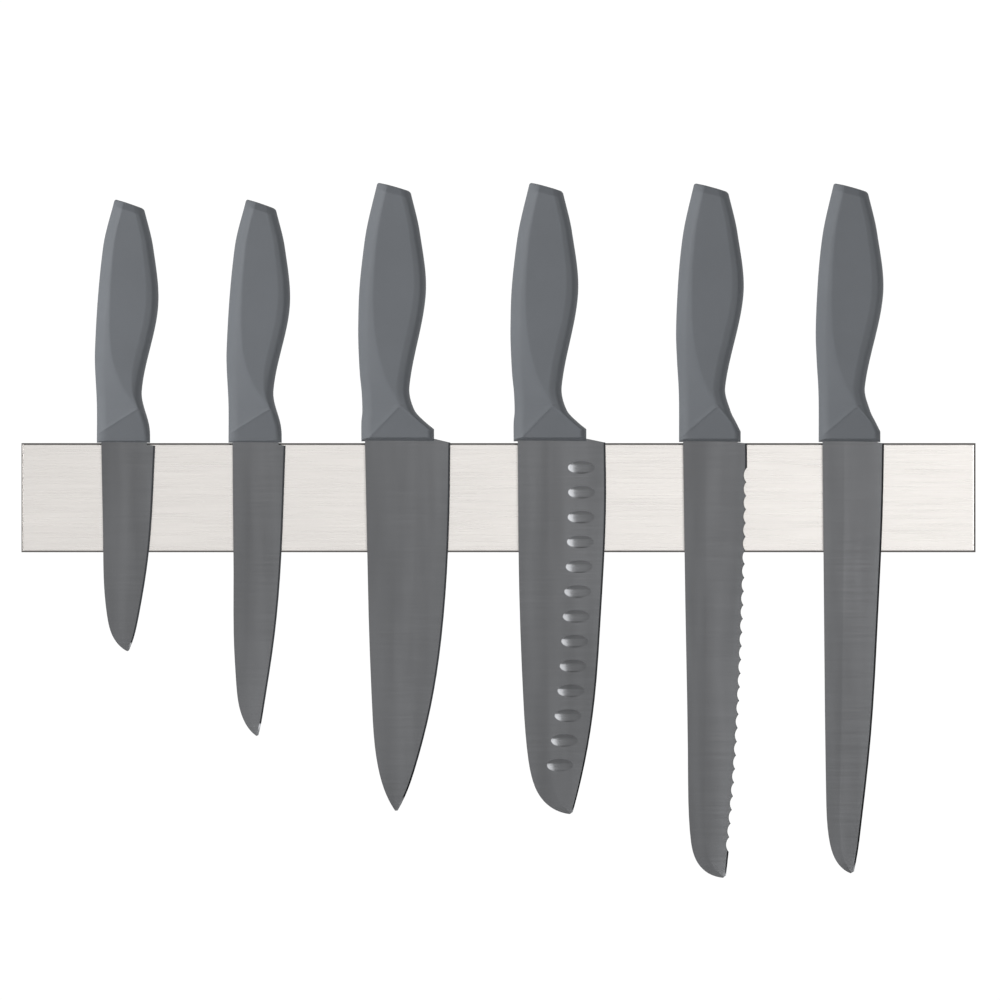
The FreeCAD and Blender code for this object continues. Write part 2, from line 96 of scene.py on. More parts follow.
def add_node(
    tree: bpy.types.NodeTree, kind: str, settings: dict | None = None, **inputs: Any
) -> bpy.types.Node:
    """Adds one node with its settings, values and links.

    Args:
        tree: the node tree that gets it.
        kind: the node's Blender type.
        settings: attributes set on the node itself.
        **inputs: a value, or the output socket to link from, for each socket. A socket is named with
            underscores for spaces, or as i_ and its index.

    Returns:
        The new node.
    """
    node = tree.nodes.new(kind)
    for name, value in (settings or {}).items():
        setattr(node, name, value)
    for name, value in inputs.items():
        stem, _, index = name.rpartition("_")
        socket = node.inputs[int(index)] if index.isdigit() else node.inputs[name.replace("_", " ")]
        if isinstance(value, bpy.types.NodeSocket):
            tree.links.new(value, socket)
        else:
            socket.default_value = value
    return node


def smooth(points: Sequence[tuple[float, float]], at: np.ndarray) -> np.ndarray:
    """Values of the smooth curve through some points.

    Args:
        points: (place, value) pairs in order of place.
        at: places to read the curve at.

    Returns:
        The curve's value at each place.
    """
    x, y = (np.array(side, float) for side in zip(*points))
    slope = np.empty_like(y)
    slope[1:-1] = (y[2:] - y[:-2]) / (x[2:] - x[:-2])
    slope[0] = (y[1] - y[0]) / (x[1] - x[0])
    slope[-1] = (y[-1] - y[-2]) / (x[-1] - x[-2])
    i = np.clip(np.searchsorted(x, at, side="right") - 1, 0, len(x) - 2)
    span = x[i + 1] - x[i]
    t = (at - x[i]) / span
    start = (1 + 2 * t) * (1 - t) ** 2 * y[i] + t * (1 - t) ** 2 * span * slope[i]
    end = t * t * (3 - 2 * t) * y[i + 1] + t * t * (t - 1) * span * slope[i + 1]
    return start + end


def lower(a: np.ndarray, b: np.ndarray, blend: float) -> np.ndarray:
    """The lower of two heights, rounded over where they are within blend of each other."""
    near = np.clip(blend - np.abs(a - b), 0, None) / blend
    return np.minimum(a, b) - near * near * blend / 4


def rounded(distance: np.ndarray, radius: float) -> np.ndarray:
    """Share of the full height at a distance from a rounded edge: 0 on the edge and 1 from radius on."""
    share = np.clip(distance / radius, 0, 1)
    return np.sqrt(1 - (1 - share) ** 2)


# --------------------------------------------------------------------------------------------------
# Finishes


class Blend(Enum):
    """How one colour is laid over another."""

    MIX = "MIX"
    MULTIPLY = "MULTIPLY"


@dataclass(frozen=True)
class Finish:
    """A plain finish: one colour, metallic and roughness, with a fine mottle so that it is never flat."""

    name: str
    colour: str
    metallic: float = 0.0
    roughness: float = 0.5
    mottle_mm: float = 6.0
    mottle: float = 0.04

    def material(self) -> bpy.types.Material:
        """Makes the finish's material, unless it has been made.

        Returns:
            The one material of this finish.
        """
        if self.name in bpy.data.materials:
            return bpy.data.materials[self.name]
        made = bpy.data.materials.new(self.name)
        made.use_nodes = True
        tree = made.node_tree
        tree.nodes.clear()
        shader = add_node(tree, "ShaderNodeBsdfPrincipled", Metallic=self.metallic, Roughness=self.roughness)
        add_node(tree, "ShaderNodeOutputMaterial", Surface=shader.outputs[0])
        self.pattern(tree, shader)
        made.diffuse_color = linear(self.colour)
        return made

    def noise(
        self, tree: bpy.types.NodeTree, size_mm: Sequence[float], detail: float = 2.0
    ) -> bpy.types.NodeSocket:
        """Noise in the piece's own coordinates.

        Args:
            tree: the material's node tree.
            size_mm: size of its features along each axis, in millimetres.
            detail: octaves of finer noise laid over it.

        Returns:
            The socket of its value.
        """
        place = add_node(tree, "ShaderNodeTexCoord")
        scale = tuple(1 / (size * MM) for size in size_mm)
        mapping = add_node(tree, "ShaderNodeMapping", Vector=place.outputs["Object"], Scale=scale)
        noise = add_node(tree, "ShaderNodeTexNoise", Vector=mapping.outputs[0], Scale=1.0, Detail=detail)
        return noise.outputs["Fac"]

    def shades(
        self, tree: bpy.types.NodeTree, by: bpy.types.NodeSocket, spread: float, colour: str | None = None
    ) -> bpy.types.NodeSocket:
        """A colour that goes darker and lighter with a pattern.

        Args:
            tree: the material's node tree.
            by: the pattern.
            spread: how much darker and lighter it goes, as a share.
            colour: sRGB hex, or None for the finish's own colour.

        Returns:
            The socket of the colour.
        """
        base = linear(colour or self.colour)
        ramp = add_node(tree, "ShaderNodeValToRGB", Fac=by)
        stops = ramp.color_ramp.elements
        for stop, place, share in zip(stops, NOISE_RANGE, (1 - spread, 1 + spread)):
            stop.position = place
            stop.color = (*(min(1.0, c * share) for c in base[:3]), 1.0)
        return ramp.outputs[0]

    def levels(
        self, tree: bpy.types.NodeTree, by: bpy.types.NodeSocket, low: float, high: float
    ) -> bpy.types.NodeSocket:
        """A value that goes up with a pattern.

        Args:
            tree: the material's node tree.
            by: the pattern.
            low: the value where the pattern is lowest.
            high: the value where it is highest.

        Returns:
            The socket of the value.
        """
        start, end = NOISE_RANGE
        inputs = {"Value": by, "From_Min": start, "From_Max": end, "To_Min": low, "To_Max": high}
        return add_node(tree, "ShaderNodeMapRange", **inputs).outputs[0]

    def laid_over(
        self, tree: bpy.types.NodeTree, under: Any, over: Any, share: Any = 1.0, how: Blend = Blend.MIX
    ) -> bpy.types.NodeSocket:
        """The colour that comes of laying a share of one colour over another."""
        settings = {"data_type": "RGBA", "blend_type": how.value}
        return add_node(tree, "ShaderNodeMix", settings, i_0=share, i_6=under, i_7=over).outputs[2]

    def relief(
        self, tree: bpy.types.NodeTree, shader: bpy.types.Node, by: bpy.types.NodeSocket, spread: float,
        strength: float, depth_mm: float,
    ) -> None:
        """Links a pattern to a shader's roughness and height.

        Args:
            tree: the material's node tree.
            shader: its shader.
            by: the pattern.
            spread: how far the roughness goes down and up with it.
            strength: strength of the bump.
            depth_mm: depth of the bump, in millimetres.
        """
        rough = self.levels(tree, by, self.roughness - spread, self.roughness + spread)
        tree.links.new(rough, shader.inputs["Roughness"])
        bump = add_node(tree, "ShaderNodeBump", Strength=strength, Distance=depth_mm * MM, Height=by)
        tree.links.new(bump.outputs[0], shader.inputs["Normal"])

    def pattern(self, tree: bpy.types.NodeTree, shader: bpy.types.Node) -> None:
        """Links the finish's patterns to its shader.

        Args:
            tree: the material's node tree.
            shader: its shader.
        """
        cloud = self.noise(tree, (self.mottle_mm,) * 3)
        tree.links.new(self.shades(tree, cloud, self.mottle), shader.inputs["Base Color"])
        low, high = self.roughness - self.mottle, self.roughness + self.mottle
        rough = self.levels(tree, cloud, low, high)
        tree.links.new(rough, shader.inputs["Roughness"])


@dataclass(frozen=True)
class BrushedStainless(Finish):
    """Sheet brushed along its length: long fine lines, and painted shade in the folds."""

    line_mm: float = 0.35  # real lines are about 0.1 mm apart, drawn coarser so that they show
    line_length_mm: float = 45.0
    cloud_mm: tuple[float, float, float] = (60.0, 20.0, 9.0)
    cloud_share: float = 0.6  # of the lines' own change of shade
    rough_spread: float = 0.05
    bump: float = 0.12
    line_depth_mm: float = 0.02
    # colour of the painted shade in the sheet's folds
    fold_shade_colour: str = "2b2421"
    # Share of the folds' painted shade by how far a face looks to the front or back: none on the flat faces.
    fold_shade_steps: tuple[tuple[float, float], ...] = ((0.04, 0.0), (0.16, 0.85), (0.84, 0.85), (0.95, 0.0))

    def pattern(self, tree: bpy.types.NodeTree, shader: bpy.types.Node) -> None:
        """Lines in colour, roughness and height, and painted shade in the folds.

        Args:
            tree: the material's node tree.
            shader: its shader.
        """
        lines = self.noise(tree, (self.line_length_mm, self.line_mm * 3, self.line_mm), LINE_DETAIL)
        clouds = self.noise(tree, self.cloud_mm)
        fine = self.shades(tree, lines, self.mottle)
        slow = self.shades(tree, clouds, self.mottle * self.cloud_share, "f4f4f4")
        steel = self.laid_over(tree, fine, slow, how=Blend.MULTIPLY)
        # Painted shade: faces in the bends, found by their normal, are laid darker.
        normal = add_node(tree, "ShaderNodeNewGeometry").outputs["Normal"]
        out = add_node(tree, "ShaderNodeSeparateXYZ", Vector=normal).outputs["Y"]
        flat = add_node(tree, "ShaderNodeMath", {"operation": "ABSOLUTE"}, i_0=out).outputs[0]
        fold_shade_ramp = add_node(tree, "ShaderNodeValToRGB", Fac=flat)
        stops = fold_shade_ramp.color_ramp.elements
        while len(stops) < len(self.fold_shade_steps):
            stops.new(0.5)
        for stop, (place, share) in zip(stops, self.fold_shade_steps):
            stop.position = place
            stop.color = (share, share, share, 1.0)
        colour = self.laid_over(tree, steel, linear(self.fold_shade_colour), fold_shade_ramp.outputs[0])
        tree.links.new(colour, shader.inputs["Base Color"])
        self.relief(tree, shader, lines, self.rough_spread, self.bump, self.line_depth_mm)


@dataclass(frozen=True)
class CoatedBlade(Finish):
    """Stainless blade ground across its width, coated titanium grey, then sharpened to a bevel, with a
    painted dark reflection on it.
    """

    line_mm: tuple[float, float, float] = (30.0, 4.0, 0.8)  # coarser than real grinding, so that they show
    band_mm: tuple[float, float, float] = (12.0, 40.0, 120.0)  # slow bands that the grinding leaves
    bands: float = 0.13
    rough_spread: float = 0.015
    bump: float = 0.04
    line_depth_mm: float = 0.01
    # colour of the painted dark reflection on the sharpened bevel
    bevel_shade_colour: str = "151618"
    bevel_shade_lean: tuple[float, float] = (0.175, 0.2)  # the bevel leans further to the edge than the hollows do

    def pattern(self, tree: bpy.types.NodeTree, shader: bpy.types.Node) -> None:
        """Cross lines in colour, roughness and height, slow bands along the blade, and a painted dark
        reflection on the bevel.

        Args:
            tree: the material's node tree.
            shader: its shader.
        """
        lines = self.noise(tree, self.line_mm, LINE_DETAIL)
        bands = self.noise(tree, self.band_mm)
        fine = self.shades(tree, lines, self.mottle)
        slow = self.shades(tree, bands, self.bands, "f0f0f0")
        steel = self.laid_over(tree, fine, slow, how=Blend.MULTIPLY)
        # Painted dark reflection: faces whose normal leans far enough towards the edge get the bevel's dark
        # colour.
        normal = add_node(tree, "ShaderNodeNewGeometry").outputs["Normal"]
        lean = add_node(tree, "ShaderNodeSeparateXYZ", Vector=normal).outputs["X"]
        low, high = self.bevel_shade_lean
        bevel = add_node(tree, "ShaderNodeMapRange", Value=lean, From_Min=low, From_Max=high).outputs[0]
        colour = self.laid_over(tree, steel, linear(self.bevel_shade_colour), bevel)
        tree.links.new(colour, shader.inputs["Base Color"])
        self.relief(tree, shader, lines, self.rough_spread, self.bump, self.line_depth_mm)


@dataclass(frozen=True)
class SoftTouch(Finish):
    """Thermoplastic elastomer moulded against a spark-eroded tool: dead matt, with a very fine tooth."""

    tooth_mm: float = 0.25
    rough_spread: float = 0.05
    bump: float = 0.25
    tooth_depth_mm: float = 0.02

    def pattern(self, tree: bpy.types.NodeTree, shader: bpy.types.Node) -> None:
        """A fine tooth in height and roughness, and a slow change of shade.

        Args:
            tree: the material's node tree.
            shader: its shader.
        """
        tooth = self.noise(tree, (self.tooth_mm,) * 3, 1.0)
        cloud = self.noise(tree, (self.mottle_mm,) * 3)
        tree.links.new(self.shades(tree, cloud, self.mottle), shader.inputs["Base Color"])
        self.relief(tree, shader, tooth, self.rough_spread, self.bump, self.tooth_depth_mm)


BAR_STEEL = BrushedStainless("brushed_stainless_steel", "e2deda", 1.0, 0.3, mottle=0.03)
BLADE_STEEL = CoatedBlade("titanium_grey_coated_steel", "6e6f71", 0.9, 0.18, mottle=0.05)
GRIP_TPE = SoftTouch("soft_touch_elastomer", "686c71", 0.0, 0.65, mottle_mm=25.0, mottle=0.03)
BLACK_ABS = Finish("moulded_black_abs", "1d1d1f", 0.0, 0.5, 1.2, 0.08)
FERRITE = Finish("sintered_ferrite", "3a3a3c", 0.1, 0.7, 0.8, 0.15)
MILD_STEEL = Finish("zinc_plated_mild_steel", "9fa3a6", 1.0, 0.38, 4.0, 0.08)
SCREW_STEEL = Finish("zinc_plated_screw_steel", "b5b8ba", 1.0, 0.3, 1.5, 0.06)
FOAM_TAPE = Finish("acrylic_foam_tape", "d9d8d2", 0.0, 0.8, 0.6, 0.06)
CORE_PP = Finish("moulded_polypropylene", "4a4e52", 0.0, 0.45, 3.0, 0.04)
FLOOR_PAINT = Finish("painted_studio_floor", "f2f2f2", 0.0, 0.8, 200.0, 0.01)


# --------------------------------------------------------------------------------------------------
# Grips


@dataclass(frozen=True)
class GripShape:
    """Sizes of one pattern of grip, in mm: across from the spine side of its lip, and up from the lip."""

    length: float  # lip to the high corner of the butt
    butt_drop: float  # from the high corner of the butt to the low one
    lip_width: float  # where the flare at the heel is cut off square
    spine_side: tuple[tuple[float, float], ...]  # (up, across)
    finger_side: tuple[tuple[float, float], ...]  # (up, across)
    half: tuple[tuple[float, float], ...]  # (up, half thickness)
    apex: tuple[float, float]  # (up, across) of the top of the bolster facet
    heel_fall: float  # how steeply the ridge falls to the heel beside the facet
    bow: float  # how far the spine side stands out past its lip
    spine_band: tuple[tuple[float, float], ...]  # (up, width) of the face along the spine side
    finger_band: tuple[tuple[float, float], ...]  # (up, width) of the face along the finger side
    spine_fall: float = 4.0  # how far the spine side's face falls before its edge is rounded
    finger_fall: float = 2.3
    crease: float = 0.35  # softness of the creases by the apex
    soft_crease: float = 3.0  # and of those further up the grip
    flare: float = 0.06  # how fast the ridge would thicken below the apex
    facet_fall: float = 0.20  # how fast the facet thins below the apex
    bead: float = 0.18  # height of the fine bead round the facet
    bead_width: float = 0.12  # height over which it falls to the facet
    bead_run: float = 0.36  # and over which it runs out on the faces above
    facet_rise: float = 2.0  # how fast the facet's plane leaves the grip above the apex
    facet_gap: float = 0.06  # from the ridge up to the facet's plane, at the apex
    ridge_gap: float = 0.1  # from the ridge up to the flat of the grip's side
    slant: float = 0.5  # how the finger side's face turns with the way up and across from the apex
    slant_run: float = 12.0
    slant_power: float = 0.6
    soften_run: float = 45.0  # above the apex, over which the creases go soft
    lip_run: float = 20.0  # above the lip, over which the rows go from sloped to level
    fine_to: float = 26.0  # top of the bolster, where the finer rows end
    bevel_start: float = 2.0  # rows get finer again this far below the butt's bevel
    lip_slope: float = 18.0  # degrees that the end rises away from the blade
    butt_crown: float = 0.35
    butt_corner: float = 1.1
    spine_round: float = 5.0
    finger_round: float = 3.2
    lip_round: float = 0.35
    butt_round: float = 0.9
    butt_bevel: float = 3.4  # height of the bevel round the butt
    butt_bevel_in: float = 1.5

    @property
    def butt_width(self) -> float:
        """The butt from its high corner across to its low one."""
        return self.finger_side[-1][1] - self.spine_side[-1][1]


SMALL_GRIP = GripShape(
    length=114.8, butt_drop=4.6, lip_width=25.1, bow=0.9,
    spine_side=((0.0, 0.0), (17.6, 0.0), (44.0, -0.9), (92.0, 2.9), (114.8, 8.4)),
    finger_side=((0.0, 25.3), (8.0, 24.7), (24.3, 21.2), (64.0, 28.9), (92.0, 26.6), (110.2, 22.3)),
    half=((0.0, 7.0), (15.0, 7.2), (24.3, 6.9), (64.0, 7.6), (92.0, 7.0), (114.8, 6.2)),
    apex=(16.1, 19.8), heel_fall=0.45, facet_fall=0.3, spine_fall=4.4, butt_bevel_in=2.2,
    spine_band=((16.1, 19.8), (28.0, 12.5), (45.0, 7.8), (70.0, 6.0), (115.0, 5.0)),
    finger_band=((16.1, 2.6), (24.0, 4.4), (35.0, 6.0), (60.0, 6.0), (115.0, 4.4)),
)
WIDE_GRIP = GripShape(
    length=122.0, butt_drop=4.3, lip_width=34.3, bow=1.5,
    spine_side=(
        (0.0, 0.0), (9.0, 0.0), (14.0, 0.45), (23.0, 0.15), (31.6, -0.7), (43.8, -1.35),
        (53.4, -1.5), (70.9, -1.0), (88.3, 0.75), (101.4, 2.7), (122.0, 7.6),
    ),
    finger_side=(
        (0.0, 41.5), (8.7, 30.6), (14.9, 25.0), (25.9, 22.7), (69.5, 30.4), (98.5, 27.6), (117.7, 23.2)
    ),
    half=((0.0, 7.4), (17.0, 7.6), (25.9, 7.2), (69.5, 8.0), (98.5, 7.4), (122.0, 6.6)),
    apex=(17.0, 18.2), heel_fall=0.17, facet_fall=0.15,
    spine_band=((17.0, 18.2), (30.0, 12.5), (50.0, 8.4), (75.0, 6.6), (122.0, 5.2)),
    finger_band=((17.0, 6.0), (30.0, 6.4), (60.0, 6.2), (122.0, 4.6)),
)
NARROW_GRIP = GripShape(
    length=122.0, butt_drop=4.3, lip_width=29.1, bow=1.5,
    spine_side=(
        (0.0, 0.0), (18.6, 0.0), (27.0, -0.25), (37.5, -0.9), (51.4, -1.4), (71.5, -0.65),
        (88.0, 0.65), (102.0, 2.6), (122.0, 7.2),
    ),
    finger_side=(
        (0.0, 31.5), (8.7, 27.2), (14.9, 24.2), (25.9, 21.8), (69.5, 30.4), (98.5, 27.6), (117.7, 23.2)
    ),
    half=((0.0, 7.4), (17.0, 7.6), (25.9, 7.2), (69.5, 8.0), (98.5, 7.4), (122.0, 6.6)),
    apex=(17.0, 17.8), heel_fall=0.30,
    spine_band=((17.0, 17.8), (30.0, 12.0), (50.0, 8.2), (75.0, 6.6), (122.0, 5.2)),
    finger_band=((17.0, 5.8), (30.0, 6.2), (60.0, 6.2), (122.0, 4.6)),
)


@dataclass
class Grip:
    """A soft-touch grip moulded over the handle's core."""

    knife: str
    shape: GripShape
    columns: int = 92
    fine_rows: int = 110  # in the bolster, where the creases are
    coarse_rows: int = 120
    lip_rows: int = 5  # round the lip's edge
    butt_rows: int = 22  # up the butt's bevel
    turn_rows: int = 7  # round the butt's edge
    end_steps: tuple[float, ...] = (0.0, 0.25, 0.5, 0.75, 0.92)  # rows across each end, as shares of its half

    @property
    def node(self) -> str:
        """The CAD node that the grip stands for."""
        return f"{self.knife}_grip"

    @property
    def rise(self) -> float:
        """How fast the grip's end rises away from the blade."""
        return math.tan(math.radians(self.shape.lip_slope))

    def sides(self, up: np.ndarray) -> tuple[np.ndarray, np.ndarray]:
        """The spine side's and the finger side's places across, at some heights."""
        s = self.shape
        return smooth(s.spine_side, up), np.minimum(smooth(s.finger_side, up), self.square_side(up))

    def square_side(self, up: np.ndarray) -> np.ndarray:
        """Where the flare is cut off square: at the lip's width below the neck, and nowhere above it."""
        neck = min(self.shape.finger_side[1:-1], key=lambda p: p[1])[0]
        return np.where(up < neck, self.shape.lip_width, np.inf)

    def half_at(self, up: np.ndarray, across: np.ndarray) -> np.ndarray:
        """Half the grip's thickness at places on its side.

        Args:
            up: heights above the lip, in mm.
            across: places across from the spine side of the lip, in mm.

        Returns:
            Height of the surface above the blade's middle plane, in mm.
        """
        s = self.shape
        left, right = self.sides(up)
        apex_up, apex_across = s.apex
        above = np.clip(up, apex_up, None)
        below = np.clip(apex_up - up, 0, None)
        thick = smooth(s.half, above)
        ridge = thick + s.flare * below
        band = np.where(up > apex_up, smooth(s.spine_band, above), apex_across - left)
        spine_face = ridge - s.spine_fall / band * np.clip(left + band - across, 0, None)
        slant = np.clip((up - apex_up - s.slant * (across - apex_across)) / s.slant_run, 0, 1)
        finger_band = smooth(s.finger_band, above)
        fall = s.heel_fall + (s.finger_fall / finger_band - s.heel_fall) * slant**s.slant_power
        start = np.where(up > apex_up, right - finger_band, apex_across + APEX_SPREAD)
        finger_face = ridge - fall * np.clip(across - start, 0, None)
        softness = s.crease + (s.soft_crease - s.crease) * np.clip((up - apex_up) / s.soften_run, 0, 1)
        height = lower(spine_face, finger_face, s.crease)
        height = np.where(up > apex_up, lower(height, thick + s.ridge_gap, softness), height)
        facet = thick - s.facet_fall * below + np.clip(up - apex_up, 0, None) * s.facet_rise + s.facet_gap
        bead_width = np.where(height < facet, s.bead_run, s.bead_width)
        bead = s.bead * np.exp(-(((height - facet) / bead_width) ** 2))
        height = lower(height, facet, s.bead_width) + np.where(below > 0, bead, 0.0)
        to_butt = s.length - s.butt_drop * (across - s.spine_side[-1][1]) / s.butt_width - up
        height = height - s.butt_bevel_in * np.clip(1 - to_butt / s.butt_bevel, 0, 1)
        return height * rounded(across - left, s.spine_round) * rounded(right - across, s.finger_round)

    def heights(self, butt: np.ndarray) -> np.ndarray:
        """Heights of the side's rows, which are closer together in the bolster and by the butt.

        Args:
            butt: the butt's height above the lip at each column.

        Returns:
            Height above the lip of each row at each column.
        """
        s = self.shape
        last = s.length - s.butt_bevel - s.bevel_start
        quarter = np.linspace(0, math.pi / 2, self.lip_rows + 1)
        edge = s.lip_round * (1 - np.cos(quarter))[:-1]
        fine = np.linspace(s.lip_round, s.fine_to, self.fine_rows, endpoint=False)
        coarse = np.linspace(s.fine_to, last, self.coarse_rows, endpoint=False)
        low = np.concatenate([edge, fine, coarse])[:, None] * np.ones_like(butt)
        share = np.linspace(0, 1, self.butt_rows)[:, None]
        scale = (butt - s.butt_round) / s.length
        low = low * (1 + (scale - 1) * np.clip((low - s.fine_to) / (last - s.fine_to), 0, 1))
        first = last * scale
        top = first + share * (butt - s.butt_round - first)
        turn = np.sin(np.linspace(0, math.pi / 2, self.turn_rows + 1))[1:, None]
        return np.concatenate([low, top, butt - s.butt_round + s.butt_round * turn])

    def surface(self) -> tuple[np.ndarray, np.ndarray, np.ndarray]:
        """The grip's side, as grids with rows up the grip and columns across it.

        Returns:
            Places across, half thicknesses and heights, all in mm.
        """
        s = self.shape
        share = (1 - np.cos(np.linspace(0, math.pi, self.columns))) / 2
        butt = self.butt_line(share)
        up = self.heights(butt)
        left, right = self.sides(up)
        across = left + (right - left) * share
        half = self.half_at(up, across)
        fade = np.clip(1 - up / s.lip_run, 0, 1) ** 2
        raised = up + half[0] * self.rise * fade
        half = self.half_at(np.maximum(raised, 0.0), across)
        half -= self.turned(up, s.lip_round) + self.turned(butt - up, s.butt_round)
        return across, np.clip(half, 0, None), raised

    def butt_line(self, share: np.ndarray) -> np.ndarray:
        """The butt's outline: slanted, a little crowned, and round at its corners.

        Args:
            share: places across the butt, as shares of its width.

        Returns:
            Height above the lip at each place.
        """
        s = self.shape
        crown = s.butt_crown * 4 * share * (1 - share)
        near = self.turned(share * s.butt_width, s.butt_corner)
        far = self.turned((1 - share) * s.butt_width, s.butt_corner)
        return s.length - s.butt_drop * share + crown - (near + far)

    @staticmethod
    def turned(distance: np.ndarray, radius: float) -> np.ndarray:
        """How far a corner of that radius falls back at a distance from its edge."""
        return radius * (1 - rounded(distance, radius))

    def mesh(self, name: str) -> bpy.types.Mesh:
        """The grip's mesh: both sides, its end against the blade, its butt and the room for the core.

        Args:
            name: the mesh's name.

        Returns:
            The mesh, in the row's own coordinates.
        """
        rows = self.with_ends(*self.surface())
        low, high = (np.array(corner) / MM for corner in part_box(self.node))
        origin = (low[0] + self.shape.bow, (low[1] + high[1]) / 2, low[2])
        made = bmesh.new()
        grid = []
        for row_across, row_half, row_up in rows:
            front = [(a, -h, u) for a, h, u in zip(row_across, row_half, row_up)]
            back = [(a, h, u) for a, h, u in zip(row_across, row_half, row_up)][-2:0:-1]
            places = [Vector(p) + Vector(origin) for p in front + back]
            grid.append([made.verts.new(p * MM) for p in places])
        for lower_row, upper_row in zip(grid, grid[1:]):
            count = len(lower_row)
            for i in range(count):
                j = (i + 1) % count
                made.faces.new((lower_row[i], lower_row[j], upper_row[j], upper_row[i]))
        bmesh.ops.remove_doubles(made, verts=made.verts, dist=WELD_MM * MM)
        bmesh.ops.dissolve_degenerate(made, edges=made.edges, dist=WELD_MM / 2 * MM)
        bmesh.ops.recalc_face_normals(made, faces=made.faces)
        self.hollow(made)
        mesh = bpy.data.meshes.new(name)
        made.to_mesh(mesh)
        made.free()
        mesh.polygons.foreach_set("use_smooth", [True] * len(mesh.polygons))
        return mesh

    def with_ends(
        self, across: np.ndarray, half: np.ndarray, up: np.ndarray
    ) -> list[tuple[np.ndarray, ...]]:
        """The side's rows, with rows before them across the end and after them across the butt.

        Args:
            across: places across, with a row for each row of the side.
            half: half thicknesses there.
            up: heights there.

        Returns:
            The same three for each row of the whole grip.
        """
        end = [(across[0], half[0] * k, half[0] * k * self.rise) for k in self.end_steps]
        side = list(zip(across, half, up))
        butt = [(across[-1], half[-1] * k, up[-1]) for k in reversed(self.end_steps)]
        return end + side + butt

    def hollow(self, made: bmesh.types.BMesh) -> None:
        """Adds the inside of the shell, which lies on the handle's core.

        Args:
            made: the mesh in hand, which has the outside already.
        """
        low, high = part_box(f"{self.knife}_handle_core")
        sides = list(zip(low, high))
        corners = [made.verts.new((x, y, z)) for x in sides[0] for y in sides[1] for z in sides[2]]
        faces = ((0, 1, 3, 2), (4, 6, 7, 5), (0, 4, 5, 1), (2, 3, 7, 6), (0, 2, 6, 4), (1, 5, 7, 3))
        inside = [made.faces.new([corners[i] for i in face]) for face in faces]
        edges = list({edge for face in inside for edge in face.edges})
        bmesh.ops.recalc_face_normals(made, faces=inside)
        bmesh.ops.reverse_faces(made, faces=inside)
        bmesh.ops.bevel(
            made, geom=edges, offset=CORE_ROUND_MM * MM, segments=CORE_ROUND_STEPS, affect="EDGES"
        )

    def build(self) -> None:
        """Builds the grip, dresses it and sets it in its CAD node's place."""
        name = f"{self.knife}_soft_grip"
        piece = bpy.data.objects.new(name, self.mesh(name))
        bpy.context.scene.collection.objects.link(piece)
        piece.data.materials.append(GRIP_TPE.material())
        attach(piece, f"{self.knife}_knife")
        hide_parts(self.node)
        log.info("%s: %d faces", name, len(piece.data.polygons))


# --------------------------------------------------------------------------------------------------
# Pieces that keep their CAD meshes


def dress(node: str, finish: Finish) -> None:
    """Gives a CAD node one finish all over.

    Args:
        node: the CAD node's name.
        finish: what it is given.
    """
    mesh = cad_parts[node].data
    mesh.materials.clear()
    mesh.materials.append(finish.material())
    log.info("%s: %s", node, finish.name)


@dataclass
class Bar:
    """The rack itself: a folded cover over a moulded carrier, its magnets and their yoke."""

    finishes: tuple[tuple[str, Finish], ...] = (
        ("front_cover", BAR_STEEL),
        ("magnet_carrier", BLACK_ABS),
        ("magnets_upper", FERRITE),
        ("magnets_lower", FERRITE),
        ("yoke_plate", MILD_STEEL),
        ("bond_tapes", FOAM_TAPE),
        ("back_plate", BLACK_ABS),
        ("back_screws", SCREW_STEEL),
    )

    def dress(self) -> None:
        """Gives each of the bar's nodes its finish."""
        for node, finish in self.finishes:
            dress(node, finish)


@dataclass
class Knife:
    """One knife: a coated blade whose tang runs into a moulded core, with a soft grip over both."""

    name: str
    grip: GripShape

    def build(self) -> None:
        """Dresses the blade and the core, and builds the grip."""
        dress(f"{self.name}_blade", BLADE_STEEL)
        dress(f"{self.name}_handle_core", CORE_PP)
        Grip(self.name, self.grip).build()


KNIVES = (
    Knife("paring", SMALL_GRIP),
    Knife("utility", SMALL_GRIP),
    Knife("chef", WIDE_GRIP),
    Knife("santoku", WIDE_GRIP),
    Knife("bread", NARROW_GRIP),
    Knife("carving", NARROW_GRIP),
)


# --------------------------------------------------------------------------------------------------
# Stage


@dataclass(frozen=True)
class Panel:
    """A light panel: where it hangs and its size in metres, and how bright its face is."""

    name: str
    place: tuple[float, float, float]
    size: tuple[float, float]
    radiance: float
    gloss_only: bool = False


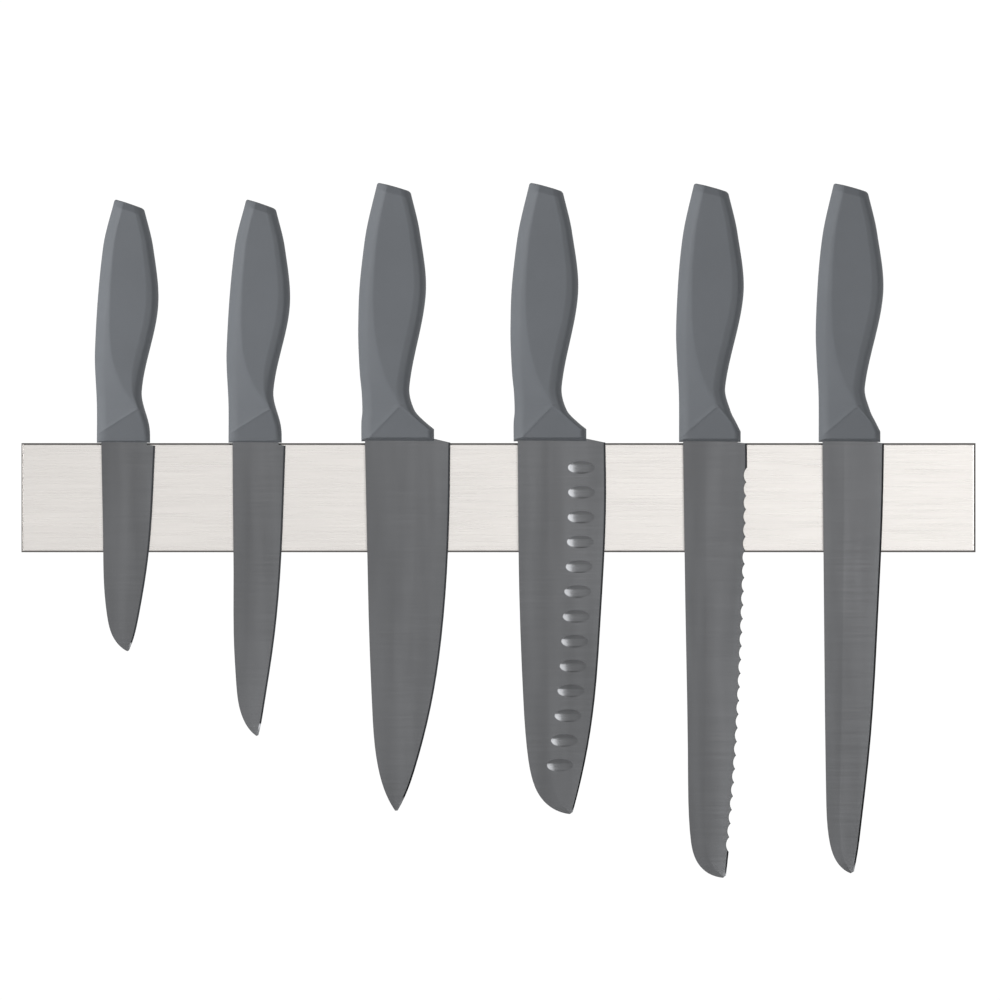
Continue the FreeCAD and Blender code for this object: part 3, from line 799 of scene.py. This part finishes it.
@dataclass
class Stage:
    """Floor, sky, lights and camera."""

    floor_drop: float = 0.15  # floor below the lowest tip, in metres
    floor_size: float = 2.6
    camera_distance: float = 4.0
    view_width: float = 0.4715  # width of the picture at the bar's face
    view_centre: tuple[float, float] = (0.0007, -0.0011)
    front_glow: float = 0.36
    back_glow: float = 0.85
    glow_turn: tuple[float, float] = (-0.2, 0.4)  # how far to the back a direction looks as its glow changes
    seen_white: float = 1.03
    clip_end: float = 100.0
    panels: tuple[Panel, ...] = (
        Panel("left_softbox", (-2.15, -1.2, 0.75), (1.4, 1.4), 7.5),
        Panel("front_panel", (5.75, -39.5, 0.0), (28.5, 40.0), 0.66, True),
        Panel("right_panel", (13.8, -37.9, 3.0), (9.0, 30.0), 4.6, True),
    )

    def floor(self) -> None:
        """A plain pale floor, which isn't part of the object."""
        low, _ = CAD_BOX
        half = self.floor_size / 2
        mesh = bpy.data.meshes.new("studio_floor")
        z = low[2] - self.floor_drop
        corners = [(-half, -half, z), (half, -half, z), (half, half, z), (-half, half, z)]
        mesh.from_pydata(corners, [], [(0, 1, 2, 3)])
        floor = bpy.data.objects.new("studio_floor", mesh)
        bpy.context.scene.collection.objects.link(floor)
        mesh.materials.append(FLOOR_PAINT.material())

    def sky(self) -> None:
        """A white surround, which lights the front dimly and the back more."""
        world = bpy.data.worlds.new("studio_surround")
        world.use_nodes = True
        tree = world.node_tree
        tree.nodes.clear()
        place = add_node(tree, "ShaderNodeTexCoord").outputs["Generated"]
        depth = add_node(tree, "ShaderNodeSeparateXYZ", Vector=place).outputs["Y"]
        start, end = self.glow_turn
        turn = {"From_Min": start, "From_Max": end, "To_Min": self.front_glow, "To_Max": self.back_glow}
        glow = add_node(tree, "ShaderNodeMapRange", Value=depth, **turn).outputs[0]
        white = linear("ffffff")
        seen = add_node(tree, "ShaderNodeBackground", Color=white, Strength=self.seen_white)
        lit = add_node(tree, "ShaderNodeBackground", Color=white, Strength=glow)
        ray = add_node(tree, "ShaderNodeLightPath").outputs["Is Camera Ray"]
        mixed = add_node(tree, "ShaderNodeMixShader", i_0=ray, i_1=lit.outputs[0], i_2=seen.outputs[0])
        add_node(tree, "ShaderNodeOutputWorld", Surface=mixed.outputs[0])
        bpy.context.scene.world = world

    def panel(self, lamp: Panel) -> None:
        """A soft light panel that faces the bar and isn't seen itself.

        Args:
            lamp: the panel to hang.
        """
        data = bpy.data.lights.new(lamp.name, "AREA")
        data.shape = "RECTANGLE"
        data.size, data.size_y = lamp.size
        data.energy = lamp.radiance * math.pi * lamp.size[0] * lamp.size[1]
        made = bpy.data.objects.new(lamp.name, data)
        made.location = lamp.place
        made.rotation_euler = (-Vector(lamp.place)).to_track_quat("-Z", "Y").to_euler()
        made.visible_camera = False
        made.visible_diffuse = not lamp.gloss_only
        bpy.context.scene.collection.objects.link(made)

    def camera(self) -> None:
        """Square on to the bar, from far enough off that the view is nearly parallel."""
        data = bpy.data.cameras.new("camera")
        data.lens = data.sensor_width * self.camera_distance / self.view_width
        data.clip_end = self.clip_end
        camera = bpy.data.objects.new("camera", data)
        x, z = self.view_centre
        camera.location = (x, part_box("front_cover")[0][1] - self.camera_distance, z)
        camera.rotation_euler = (math.pi / 2, 0.0, 0.0)
        bpy.context.scene.collection.objects.link(camera)
        bpy.context.scene.camera = camera

    def set(self) -> None:
        """Sets the whole stage."""
        self.floor()
        self.sky()
        for lamp in self.panels:
            self.panel(lamp)
        self.camera()
        bpy.context.scene.view_settings.view_transform = "Standard"


def main() -> None:
    """Builds and dresses the rack and its knives, and sets the stage."""
    logging.basicConfig(level=logging.INFO, format="%(name)s: %(message)s")
    Bar().dress()
    for knife in KNIVES:
        knife.build()
    Stage().set()


if __name__ == "__main__":
    main()
